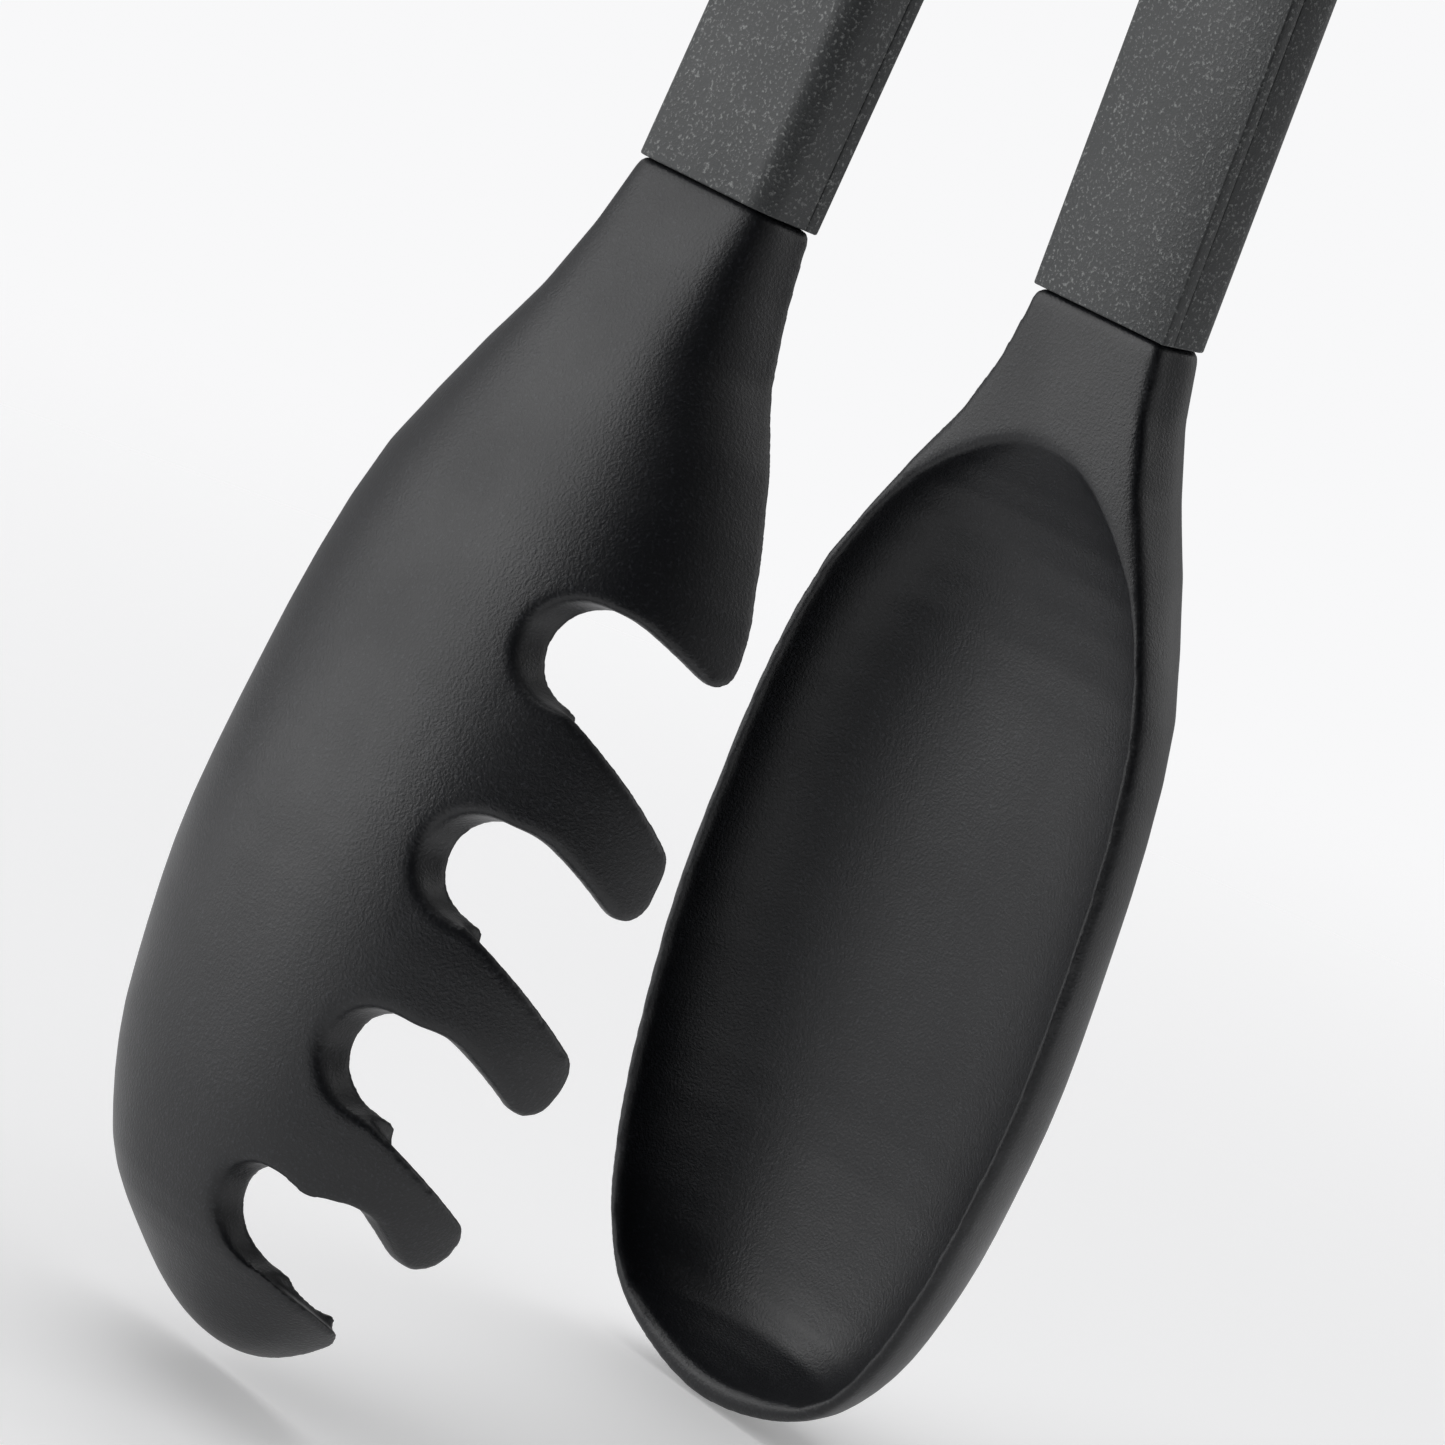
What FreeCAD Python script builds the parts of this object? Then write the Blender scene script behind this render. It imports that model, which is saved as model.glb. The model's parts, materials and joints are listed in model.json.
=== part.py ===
import FreeCAD, Part
import math
import os

import Sketcher
from FreeCAD import Rotation, Vector

# Spring loaded kitchen tongs with a spoon head and a claw head.
#
# The row frame has its origin at the centre of the eyelet that the tongs hang by, +Z up along the tongs,
# the heads down, the spoon arm towards +X, the claw arm towards -X, and the hinge pin along Y.
# Everything is drawn with the tongs sprung open and unlocked, which is their rest position.
#
# An arm is drawn once, for the spoon side, and turned half round Z for the claw side. Its own frame starts
# at the joint line between grip and head, on the inner face, with X outwards and Z up along the grip.
# The hinge frame has its origin on the pin, with its axes along the row's.

SIZES = [
    ("eyelet_to_hinge", 26.0, "eyelet centre down to the hinge pin"),
    ("arm_drop", 160.0, "hinge pin down to the joint line of grip and head"),
    ("arm_gap", 51.0, "between the inner faces at the joint line"),
    ("splay", 3.45, "lean of each lower arm, degrees"),
    ("swing", 6.55, "turn of each arm from open to shut, degrees"),
    ("bow", 5.2, "bend of each arm in its upper half, degrees"),
    ("bow_radius", 300.0, "radius of that bend"),
    ("straight_run", 40.0, "straight grip above the joint line"),
    ("grip_upper_run", 35.4, "straight grip above the bend"),
    ("grip_width", 18.0, "grip across, along Y"),
    ("grip_depth", 7.8, "grip thickness, inner to outer face"),
    ("grip_face_depth", 1.6, "flat inner half of the grip"),
    ("grip_edge_radius", 2.6, "rounding of the outer edges"),
    ("strip_width", 12.8, "steel strip inside the grip"),
    ("steel", 1.0, "thickness of the pressed steel"),
    ("loose_fit", 0.2, "gap round pieces inside the grip"),
    ("tang_width", 12.4, "tang of the head"),
    ("tang_depth", 2.2, "tang thickness"),
    ("tang_length", 22.0, "tang above the joint line"),
    ("head_rivet_radius", 1.5, "flush rivets through tang and strip"),
    ("head_rivet_pitch", 10.0, "between those rivets"),
    ("head_rivet_start", 6.0, "first of those rivets above the joint line"),
    ("grip_rivet_radius", 1.5, "shank of the domed grip rivet"),
    ("grip_rivet_head", 3.2, "head radius of the grip rivet"),
    ("grip_rivet_dome", 0.9, "height of its head"),
    ("grip_rivet_inset", 9.0, "grip rivet below the top of the grip"),
    ("pin_radius", 2.0, "hinge pin"),
    ("pin_fit", 0.05, "radial clearance of the ears on the pin"),
    ("pin_head_radius", 3.8, "head and cap of the hinge pin"),
    ("pin_head_height", 1.0, "height of the head and cap"),
    ("ear_radius", 5.5, "ear round the pin"),
    ("ear_gap", 0.3, "between the nested ears"),
    ("outer_channel", 15.8, "claw arm channel, over its ears"),
    ("channel_end", 57.0, "hinge pin down to the end of the channel"),
    ("bar_radius", 1.0, "lock bar"),
    ("bar_length", 17.2, "lock bar, end to end"),
    ("bar_fit", 0.15, "clearance of the bar in its pocket"),
    ("bar_drop", 37.5, "hinge pin down to the bar when unlocked"),
    ("lock_travel", 5.5, "lift of the bar from unlocked to locked"),
    ("nose", 1.2, "hook nose that the bar locks behind"),
    ("lock_width", 8.0, "lock strip across, along X"),
    ("lock_steel", 1.5, "thickness of the lock strip"),
    ("lock_fit", 0.1, "clearance of the lock strip on pin and spools"),
    ("lock_tail", 3.0, "lock strip below its bar"),
    ("spool_radius", 2.5, "spool inside the spring"),
    ("spool_flange", 5.6, "radius of the spool's flange"),
    ("spool_flange_depth", 0.4, "thickness of that flange"),
    ("spool_length", 4.5, "spool along the pin"),
    ("wire_radius", 0.45, "spring wire"),
    ("coil_radius", 3.2, "spring coil, to the middle of its wire"),
    ("coil_pitch", 0.96, "spring coil, turn to turn"),
    ("coil_start", 1.8, "middle plane to the first turn"),
    ("leg_length", 24.0, "spring leg on the arm"),
    ("stop_leg", 5.0, "spring leg on the spool"),
    ("stop_gap", 0.6, "that leg to its stop when open"),
    ("tab_width", 17.0, "pull tab across"),
    ("tab_depth", 6.0, "pull tab thickness"),
    ("tab_rise", 8.5, "eyelet centre up to the tab's straight top"),
    ("tab_fall", 15.0, "eyelet centre down to the tab's lower end"),
    ("tab_waist", 11.0, "width of the tab at its lower end"),
    ("tab_cap", 6.5, "corner radius of the tab's top"),
    ("strip_in_tab", 8.0, "how far the lock strip runs up into the tab"),
    ("tab_rivet_radius", 1.2, "rivets through tab and strip"),
    ("tab_rivet_side", 2.2, "those rivets either side of the middle"),
    ("eyelet_bore", 4.0, "radius of the hole it hangs by"),
    ("eyelet_wall", 0.8, "eyelet tube"),
    ("eyelet_flange", 5.9, "radius of the eyelet's rolled flanges"),
    ("eyelet_lip", 0.5, "thickness of those flanges"),
    ("joint_step", 0.2, "neck of the head set in from the grip, each side"),
    ("head_length", 116.8, "spoon, joint line to tip"),
    ("head_half_width", 26.2, "spoon, middle to rim at its widest"),
    ("head_depth", 16.1, "spoon, rim to the back at its deepest"),
    ("claw_length", 114.8, "claw, joint line to tip"),
    ("claw_half_width", 24.6, "claw, middle to rim at its widest"),
    ("claw_depth", 20.4, "claw, rim to the back at its deepest"),
    ("spoon_wall", 2.4, "wall of the spoon at the bottom of its bowl"),
    ("claw_wall", 4.4, "wall of the claw"),
    ("spoon_rim", 1.5, "flat rim of the spoon"),
    ("claw_rim", 3.2, "flat rim of the claw"),
    ("bowl_start", 13.6, "joint line to the top of the bowl"),
    ("bowl_run_in", 13.0, "length over which the bowl widens from its top"),
    ("bowl_run_out", 5.0, "length over which it narrows at the tip"),
    ("bowl_squareness", 2.3, "section of the bowl, 2 is an ellipse"),
    ("slot_radius", 4.8, "round root of the claw's slots"),
    ("slot_root_radius", 4.8, "those roots, seen from behind"),
    ("slot_root", 0.65, "root centre as a share of the claw's depth there"),
    ("point_round", 2.8, "round end of each point"),
]

# Shape of a head, from its neck to its tip: share of its length, half-width as a share of the widest,
# depth as a share of the deepest, and how square the section is (2 is an ellipse).
SPOON_OUTLINE = [
    (0.05, 0.365, 0.55, 5.5),
    (0.10, 0.43, 0.67, 4.0),
    (0.20, 0.67, 0.83, 2.9),
    (0.32, 0.90, 0.92, 2.5),
    (0.45, 0.98, 0.94, 2.4),
    (0.60, 1.00, 0.98, 2.4),
    (0.75, 0.935, 1.00, 2.4),
    (0.87, 0.81, 0.92, 2.4),
    (0.95, 0.605, 0.78, 2.3),
    (1.00, 0.00, 0.00, 2.2),
]
CLAW_OUTLINE = [
    (0.05, 0.40, 0.44, 5.0),
    (0.10, 0.455, 0.53, 3.8),
    (0.20, 0.71, 0.67, 2.8),
    (0.32, 0.92, 0.85, 2.5),
    (0.455, 0.99, 0.945, 2.4),
    (0.61, 1.00, 1.00, 2.4),
    (0.76, 0.91, 0.96, 2.4),
    (0.88, 0.74, 0.80, 2.3),
    (0.95, 0.48, 0.50, 2.2),
    (1.00, 0.00, 0.00, 2.1),
]
# The claw's slots, as shares of its length: centre of the round root, and the upper and lower lips at the rim.
# The last is how far out that centre is, as a share of the half-width.
CLAW_SLOTS = [
    (0.357, 0.352, 0.474, 0.67),
    (0.535, 0.549, 0.650, 0.71),
    (0.703, 0.720, 0.809, 0.67),
    (0.858, 0.876, 0.939, 0.44),
]
ARC_POINTS = 17
NECK_SQUARENESS = 7.0
BODY_STATIONS = 32
BOWL_STATIONS = 26
HALF_TURN = 180
ARM_SIDES = {"spoon": 0, "fork": HALF_TURN}

doc = FreeCAD.newDocument("kitchen_tongs")
sheet = doc.addObject("Spreadsheet::Sheet", "Sizes")
for row, (alias, value, note) in enumerate(SIZES, start=1):
    sheet.set("A%d" % row, str(value))
    sheet.set("B%d" % row, note)
    sheet.setAlias("A%d" % row, alias)
doc.recompute()

# Expressions that several pieces share.
UPPER_LEAN = "(Sizes.splay + Sizes.bow)"
SHUT_LEAN = "(Sizes.splay + Sizes.bow - Sizes.swing)"
STRIP_IN = "(Sizes.grip_face_depth + Sizes.loose_fit)"
STRIP_OUT = "(Sizes.grip_face_depth + Sizes.loose_fit + Sizes.steel)"
CAVITY_OUT = "(Sizes.grip_face_depth + 2 * Sizes.loose_fit + Sizes.steel)"
TANG_OUT = "(Sizes.grip_face_depth + Sizes.loose_fit + Sizes.steel + Sizes.tang_depth)"
BEND_RISE = "(Sizes.bow_radius * (sin(Sizes.splay + Sizes.bow) - sin(Sizes.splay)))"
UPPER_DROP = "(Sizes.arm_drop - Sizes.straight_run * cos(Sizes.splay) - %s)" % BEND_RISE
FACE_AT_HINGE = (
    "(Sizes.arm_gap / 2 - Sizes.straight_run * sin(Sizes.splay)"
    " - Sizes.bow_radius * (cos(Sizes.splay) - cos(Sizes.splay + Sizes.bow))"
    " - %s * tan(Sizes.splay + Sizes.bow))" % UPPER_DROP
)
FACE_OFF_HINGE = "(%s * cos(Sizes.splay + Sizes.bow))" % FACE_AT_HINGE
BAR_LIFTED = "(Sizes.bar_drop - Sizes.lock_travel)"
NOSE_TIP = "(Sizes.bar_radius + Sizes.bar_fit + Sizes.nose)"
PIN_HALF = "(Sizes.outer_channel / 2 + Sizes.loose_fit / 2)"
INNER_CHANNEL = "(Sizes.outer_channel - 2 * Sizes.steel - 2 * Sizes.ear_gap)"


def size(expression):
    """Number that an expression over the sheet comes to."""
    return float(sheet.evalExpression(expression.replace("Sizes.", "")))


def arm_frame(turn):
    """Placement expression of an arm's own frame."""
    return (
        "placement(vector(0; 0; -Sizes.eyelet_to_hinge - Sizes.arm_drop); rotation(%d; 0; 0))"
        " * placement(vector(Sizes.arm_gap / 2; 0; 0); rotation(0; -Sizes.splay; 0))" % turn
    )


def hinge_frame(turn=0):
    """Placement expression of the hinge frame."""
    return "placement(vector(0; 0; -Sizes.eyelet_to_hinge); rotation(%d; 0; 0))" % turn


def new_body(label, frame=None):
    body = doc.addObject("PartDesign::Body", label)
    body.Label = label
    if frame:
        body.setExpression("Placement", frame)
    return body


def origin_part(body, role):
    return next(part for part in body.Origin.OriginFeatures if part.Role == role)


def new_sketch(body, name, plane):
    sketch = body.newObject("Sketcher::SketchObject", name)
    sketch.AttachmentSupport = (origin_part(body, plane), [""])
    sketch.MapMode = "FlatFace"
    return sketch


def bind(sketch, kind, references, expression):
    """Add a constraint whose value comes from the sheet."""
    index = sketch.addConstraint(Sketcher.Constraint(kind, *references, size(expression)))
    sketch.setExpression("Constraints[%d]" % index, expression)


def outline(body, name, plane, corners):
    """Closed outline of straight sides, each corner bound to the sheet."""
    sketch = new_sketch(body, name, plane)
    points = [Vector(size(across), size(up), 0) for across, up in corners]
    count = len(points)
    for index, point in enumerate(points):
        sketch.addGeometry(Part.LineSegment(point, points[(index + 1) % count]), False)
    for index in range(count):
        sketch.addConstraint(Sketcher.Constraint("Coincident", index, 2, (index + 1) % count, 1))
    for index, (across, up) in enumerate(corners):
        bind(sketch, "DistanceX", (-1, 1, index, 1), across)
        bind(sketch, "DistanceY", (-1, 1, index, 1), up)
    return sketch


def rectangle(body, name, plane, low, high):
    """Outline of a rectangle from its low corner to its high corner."""
    corners = [low, (high[0], low[1]), high, (low[0], high[1])]
    return outline(body, name, plane, corners)


def disc(body, name, plane, centre, radius):
    """Circle, bound to the sheet."""
    sketch = new_sketch(body, name, plane)
    middle = Vector(size(centre[0]), size(centre[1]), 0)
    sketch.addGeometry(Part.Circle(middle, Vector(0, 0, 1), size(radius)), False)
    bind(sketch, "DistanceX", (-1, 1, 0, 3), centre[0])
    bind(sketch, "DistanceY", (-1, 1, 0, 3), centre[1])
    bind(sketch, "Radius", (0,), radius)
    return sketch


def pad(body, name, sketch, length):
    """Material to both sides of the sketch's plane."""
    feature = body.newObject("PartDesign::Pad", name)
    feature.Profile = sketch
    feature.Midplane = True
    feature.setExpression("Length", length)
    doc.recompute()
    return feature


def pocket(body, name, sketch, length):
    """Cut to both sides of the sketch's plane."""
    feature = body.newObject("PartDesign::Pocket", name)
    feature.Profile = sketch
    feature.Midplane = True
    feature.setExpression("Length", length)
    doc.recompute()
    return feature


def revolve(body, name, sketch, axis):
    feature = body.newObject("PartDesign::Revolution", name)
    feature.Profile = sketch
    feature.ReferenceAxis = (origin_part(body, axis), [""])
    feature.Angle = 360
    doc.recompute()
    return feature


def fillet(body, name, base, edges, radius):
    feature = body.newObject("PartDesign::Fillet", name)
    feature.Base = (base, edges)
    feature.setExpression("Radius", radius)
    doc.recompute()
    return feature


def edges_where(feature, test):
    """Names of the edges whose middle passes a test."""
    names = []
    for index, edge in enumerate(feature.Shape.Edges, start=1):
        if test(edge.valueAt((edge.FirstParameter + edge.LastParameter) / 2)):
            names.append("Edge%d" % index)
    return names


def arm_path(body, name, low, upper_run):
    """Line that the arm follows: up the straight grip, round the bend and on towards the hinge."""
    sketch = new_sketch(body, name, "XZ_Plane")
    start = size(low)
    straight = size("straight_run")
    radius = size("bow_radius")
    bow = math.radians(size("bow"))
    run = size(upper_run)
    bend_top = Vector(-radius * (1 - math.cos(bow)), straight + radius * math.sin(bow), 0)
    top = bend_top + Vector(-math.sin(bow), math.cos(bow), 0) * run
    circle = Part.Circle(Vector(-radius, straight, 0), Vector(0, 0, 1), radius)
    sketch.addGeometry(Part.LineSegment(Vector(0, start, 0), Vector(0, straight, 0)), False)
    sketch.addGeometry(Part.ArcOfCircle(circle, 0, bow), False)
    sketch.addGeometry(Part.LineSegment(bend_top, top), False)
    sketch.addConstraint(Sketcher.Constraint("Tangent", 0, 2, 1, 1))
    sketch.addConstraint(Sketcher.Constraint("Tangent", 1, 2, 2, 1))
    sketch.addConstraint(Sketcher.Constraint("Vertical", 0))
    sketch.addConstraint(Sketcher.Constraint("PointOnObject", 0, 1, -2))
    bind(sketch, "DistanceY", (-1, 1, 0, 1), low)
    bind(sketch, "DistanceY", (-1, 1, 0, 2), "Sizes.straight_run")
    bind(sketch, "Radius", (1,), "Sizes.bow_radius")
    bind(sketch, "Distance", (2,), upper_run)
    bind(sketch, "DistanceX", (1, 2, -1, 1), "Sizes.bow_radius * (1 - cos(Sizes.bow))")
    return sketch


def follow_arm(body, kind, name, low_corner, high_corner, low, upper_run):
    """Bar or cut with a rectangular section that follows the arm's line from low upwards."""
    section = rectangle(body, name + "_section", "XY_Plane", low_corner, high_corner)
    section.setExpression("AttachmentOffset.Base.z", low)
    path = arm_path(body, name + "_path", low, upper_run)
    feature = body.newObject(kind, name)
    feature.Profile = section
    feature.Spine = (path, [])
    doc.recompute()
    return feature


def grip_rivet_frame(turn):
    """Placement expression on the rivet's axis, at the grip's inner face, with X outwards."""
    run = "(%s / cos(Sizes.splay + Sizes.bow) - Sizes.grip_upper_run + Sizes.grip_rivet_inset)" % UPPER_DROP
    return (
        "placement(vector(0; 0; -Sizes.eyelet_to_hinge); rotation(%d; 0; 0))"
        " * placement(vector(%s; 0; 0); rotation(0; -%s; 0))"
        " * placement(vector(0; 0; -%s); rotation(0; 0; 0))" % (turn, FACE_AT_HINGE, UPPER_LEAN, run)
    )


def with_rivet_hole(label, solid, side):
    """A solid with the grip rivet's hole through it."""
    drill = doc.addObject("Part::Cylinder", label + "_drill")
    drill.setExpression("Radius", "Sizes.grip_rivet_radius")
    drill.setExpression("Height", "4 * Sizes.grip_depth")
    across = " * placement(vector(-Sizes.grip_depth; 0; 0); rotation(0; 90; 0))"
    drill.setExpression("Placement", grip_rivet_frame(ARM_SIDES[side]) + across)
    cut = doc.addObject("Part::Cut", label)
    cut.Label = label
    cut.Base = solid
    cut.Tool = drill
    doc.recompute()
    return cut


def grip_face(side):
    """Flat inner half of the grip."""
    body = new_body(side + "_face_bar", arm_frame(ARM_SIDES[side]))
    low = ("0", "-Sizes.grip_width / 2")
    high = ("Sizes.grip_face_depth", "Sizes.grip_width / 2")
    follow_arm(body, "PartDesign::AdditivePipe", side + "_face", low, high, "0", "Sizes.grip_upper_run")
    return with_rivet_hole(side + "_grip_face", body, side)


def grip_back(side):
    """Outer half of the grip: rounded outside, with a trough for the strip and a pocket for the tang."""
    body = new_body(side + "_back_bar", arm_frame(ARM_SIDES[side]))
    low = ("Sizes.grip_face_depth", "-Sizes.grip_width / 2")
    high = ("Sizes.grip_depth", "Sizes.grip_width / 2")
    bar = follow_arm(body, "PartDesign::AdditivePipe", side + "_back", low, high, "0", "Sizes.grip_upper_run")
    outer = size("grip_depth")
    half = size("grip_width") / 2
    bend = math.radians(size("bow"))
    rounded = edges_where(bar, lambda p: abs(abs(p.y) - half) < 0.01 and outer_edge(p, outer, bend))
    fillet(body, side + "_back_edges", bar, rounded, "Sizes.grip_edge_radius")
    half_trough = "(Sizes.strip_width / 2 + Sizes.loose_fit)"
    trough_low = ("Sizes.grip_face_depth - 1", "-" + half_trough)
    trough_high = (CAVITY_OUT, half_trough)
    follow_arm(
        body, "PartDesign::SubtractivePipe", side + "_trough", trough_low, trough_high, "-1",
        "Sizes.grip_upper_run + 1",
    )
    tang = rectangle(
        body, side + "_tang_pocket_outline", "XZ_Plane",
        ("Sizes.grip_face_depth", "-1"),
        (TANG_OUT + " + Sizes.loose_fit", "Sizes.tang_length + Sizes.loose_fit"),
    )
    pocket(body, side + "_tang_pocket", tang, "Sizes.tang_width + 2 * Sizes.loose_fit")
    return with_rivet_hole(side + "_grip_back", body, side)


def outer_edge(point, outer, bend):
    """Whether a point lies on the outer face of a grip in the arm's frame."""
    radius = size("bow_radius")
    straight = size("straight_run")
    if point.z <= straight:
        return abs(point.x - outer) < 0.01
    angle = math.atan2(point.z - straight, point.x + radius)
    if angle <= bend:
        return abs(math.hypot(point.x + radius, point.z - straight) - radius - outer) < 0.01
    across = (point.x + radius) * math.cos(bend) + (point.z - straight) * math.sin(bend)
    return abs(across - radius - outer) < 0.01


def back_line(height, offset):
    """Expression for X on a line of the channel's web, drawn shut, at a height expression."""
    base = "(%s + %s) / cos(%s)" % (FACE_OFF_HINGE, offset, SHUT_LEAN)
    return "%s - (%s) * tan(%s)" % (base, height, SHUT_LEAN)


def channel(side, width):
    """Channel at the top of an arm: web, ears round the pin and hooks for the lock bar.

    It is drawn in its shut position and turned open by the swing.
    """
    frame = hinge_frame(ARM_SIDES[side]) + " * placement(vector(0; 0; 0); rotation(0; -Sizes.swing; 0))"
    body = new_body(side + "_channel", frame)
    ear = "Sizes.ear_radius"
    end = "-Sizes.channel_end"
    hook_top = "-%s + 7 * Sizes.bar_radius" % BAR_LIFTED
    hook_end = "-Sizes.bar_drop - 4 * Sizes.bar_radius"
    corners = [
        (back_line(ear, STRIP_OUT), ear),
        ("-" + ear, ear),
        ("-" + ear, "-" + ear),
        ("-" + NOSE_TIP, hook_top),
        ("-" + NOSE_TIP, hook_end),
        (back_line(end, STRIP_IN) + " - Sizes.steel", end),
        (back_line(end, STRIP_OUT), end),
    ]
    block = pad(body, side + "_channel_block", outline(body, side + "_channel_side", "XZ_Plane", corners), width)
    ear_size = size("ear_radius")
    round_ear = edges_where(block, lambda p: abs(p.x + ear_size) < 0.01 and abs(abs(p.z) - ear_size) < 0.01)
    fillet(body, side + "_ear_round", block, round_ear, "Sizes.ear_radius * 0.9")
    inside = [
        (back_line("2 * " + ear, STRIP_IN), "2 * " + ear),
        ("-2 * " + ear, "2 * " + ear),
        ("-2 * " + ear, "2 * " + end),
        (back_line("2 * " + end, STRIP_IN), "2 * " + end),
    ]
    hollow = outline(body, side + "_channel_inside", "XZ_Plane", inside)
    pocket(body, side + "_channel_hollow", hollow, "%s - 2 * Sizes.steel" % width)
    hole = disc(body, side + "_pin_hole_outline", "XZ_Plane", ("0", "0"), "Sizes.pin_radius + Sizes.pin_fit")
    pocket(body, side + "_pin_hole", hole, "2 * Sizes.grip_width")
    play = "(Sizes.bar_radius + Sizes.bar_fit)"
    entry = "(Sizes.bar_radius + 3 * Sizes.bar_fit)"
    hook = [
        ("-4 * " + ear, "-Sizes.bar_drop - " + entry),
        (play, "-Sizes.bar_drop - " + entry),
        (play, "-%s + %s" % (BAR_LIFTED, play)),
        ("-" + play, "-%s + %s" % (BAR_LIFTED, play)),
        ("-" + play, "-Sizes.bar_drop + " + entry),
        ("-4 * " + ear, "-Sizes.bar_drop + " + entry),
    ]
    pocket(body, side + "_hook", outline(body, side + "_hook_outline", "XZ_Plane", hook), "2 * Sizes.grip_width")
    return body


def arm_core(side, width):
    """Pressed steel arm: the channel at the hinge and the strip that runs down inside the grip."""
    strip = new_body(side + "_strip", arm_frame(ARM_SIDES[side]))
    low = (STRIP_IN, "-Sizes.strip_width / 2")
    high = (STRIP_OUT, "Sizes.strip_width / 2")
    run = "%s / cos(Sizes.splay + Sizes.bow) - Sizes.channel_end + 2 * Sizes.steel" % UPPER_DROP
    follow_arm(strip, "PartDesign::AdditivePipe", side + "_strip_bar", low, high, "2 * Sizes.steel", run)
    for index in range(2):
        height = "Sizes.head_rivet_start + %d * Sizes.head_rivet_pitch" % index
        name = "%s_strip_hole_%d" % (side, index)
        hole = disc(strip, name + "_outline", "YZ_Plane", ("0", height), "Sizes.head_rivet_radius")
        pocket(strip, name, hole, "4 * Sizes.grip_depth")
    core = doc.addObject("Part::MultiFuse", side + "_core_blank")
    core.Shapes = [channel(side, width), strip]
    doc.recompute()
    return with_rivet_hole(side + "_arm_core", core, side)


def head_rivets(side):
    """Two flush rivets through strip and tang."""
    body = new_body(side + "_head_rivets", arm_frame(ARM_SIDES[side]))
    body.AllowCompound = True
    middle = "(%s + %s) / 2" % (STRIP_IN, TANG_OUT)
    centre = ("0", "Sizes.head_rivet_start")
    sketch = disc(body, side + "_rivet_outline", "YZ_Plane", centre, "Sizes.head_rivet_radius")
    sketch.setExpression("AttachmentOffset.Base.z", middle)
    rivet = pad(body, side + "_rivet", sketch, "Sizes.steel + Sizes.tang_depth")
    row = body.newObject("PartDesign::LinearPattern", side + "_rivet_row")
    row.Originals = [rivet]
    row.Direction = (origin_part(body, "Z_Axis"), [""])
    row.setExpression("Length", "Sizes.head_rivet_pitch")
    row.Occurrences = 2
    body.Tip = row
    doc.recompute()
    return body


def grip_rivet(side):
    """Domed rivet through both halves of the grip and the strip."""
    body = new_body(side + "_grip_rivet", grip_rivet_frame(ARM_SIDES[side]))
    shank = "Sizes.grip_rivet_radius"
    head = "Sizes.grip_rivet_head"
    dome = "Sizes.grip_rivet_dome"
    corners = [
        ("-" + dome, "0"),
        ("-" + dome, head + " * 0.55"),
        ("-%s * 0.55" % dome, head + " * 0.85"),
        ("0", head),
        ("0", shank),
        ("Sizes.grip_depth", shank),
        ("Sizes.grip_depth", head),
        ("Sizes.grip_depth + %s * 0.55" % dome, head + " * 0.85"),
        ("Sizes.grip_depth + " + dome, head + " * 0.55"),
        ("Sizes.grip_depth + " + dome, "0"),
    ]
    revolve(body, side + "_grip_rivet_turned", outline(body, side + "_grip_rivet_half", "XZ_Plane", corners), "X_Axis")
    return body


def section_wire(station, half_width, depth, squareness, above=0):
    """Closed section across a head at a distance below the joint line, rim to rim round the back."""
    points = []
    for index in range(ARC_POINTS):
        angle = math.pi * index / (ARC_POINTS - 1)
        across = math.copysign(abs(math.cos(angle)) ** (2 / squareness), math.cos(angle)) * half_width
        down = math.sin(angle) ** (2 / squareness) * depth if 0 < index < ARC_POINTS - 1 else 0
        points.append(Vector(down, across, -station))
    curve = Part.BSplineCurve()
    curve.interpolate(points)
    if not above:
        return Part.Wire([curve.toShape(), Part.makeLine(points[-1], points[0])])
    lift = Vector(-above, 0, 0)
    rim = [points[-1], points[-1] + lift, points[0] + lift, points[0]]
    return Part.Wire([curve.toShape()] + [Part.makeLine(a, b) for a, b in zip(rim, rim[1:])])


def smooth(rows, share, column, power=1):
    """Value of an outline's column at a share of the length, on a smooth curve through its rows."""
    values = [row[column] ** power for row in rows]
    spans = [high[0] - low[0] for low, high in zip(rows, rows[1:])]
    rises = [(values[index + 1] - values[index]) / span for index, span in enumerate(spans)]
    slopes = [rises[0]]
    for before, after in zip(rises, rises[1:]):
        slopes.append(2 * before * after / (before + after) if before * after > 0 else 0)
    slopes.append(rises[-1])
    index = max(place for place in range(len(spans)) if place == 0 or rows[place][0] <= share)
    span = spans[index]
    part = (share - rows[index][0]) / span
    value = (
        (2 * part ** 3 - 3 * part ** 2 + 1) * values[index]
        + (part ** 3 - 2 * part ** 2 + part) * span * slopes[index]
        + (3 * part ** 2 - 2 * part ** 3) * values[index + 1]
        + (part ** 3 - part ** 2) * span * slopes[index + 1]
    )
    return max(value, 0) ** (1 / power)


def run_in(distance, length):
    """Quarter round from 0 to 1 over a length."""
    part = min(distance / length, 1)
    return math.sqrt(part * (2 - part))


def with_neck(outline_rows, half_width, depth):
    """An outline with its first row at the joint line, where the neck is a little smaller than the grip."""
    neck_width = size("grip_width / 2 - joint_step")
    neck_depth = size("grip_depth - joint_step")
    return [(0, neck_width / half_width, neck_depth / depth, NECK_SQUARENESS)] + outline_rows


def head_body(rows, length, half_width, depth):
    """Solid head, rim plane at X = 0 and the back towards +X."""
    wires = []
    for index in range(BODY_STATIONS):
        part = index / BODY_STATIONS
        share = part * (2 - part)
        across = smooth(rows, share, 1, 2) * half_width
        down = smooth(rows, share, 2, 2) * depth
        wires.append(section_wire(share * length, across, down, smooth(rows, share, 3)))
    return Part.makeLoft(wires + [Part.Vertex(0, 0, -length)], True, True)


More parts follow.
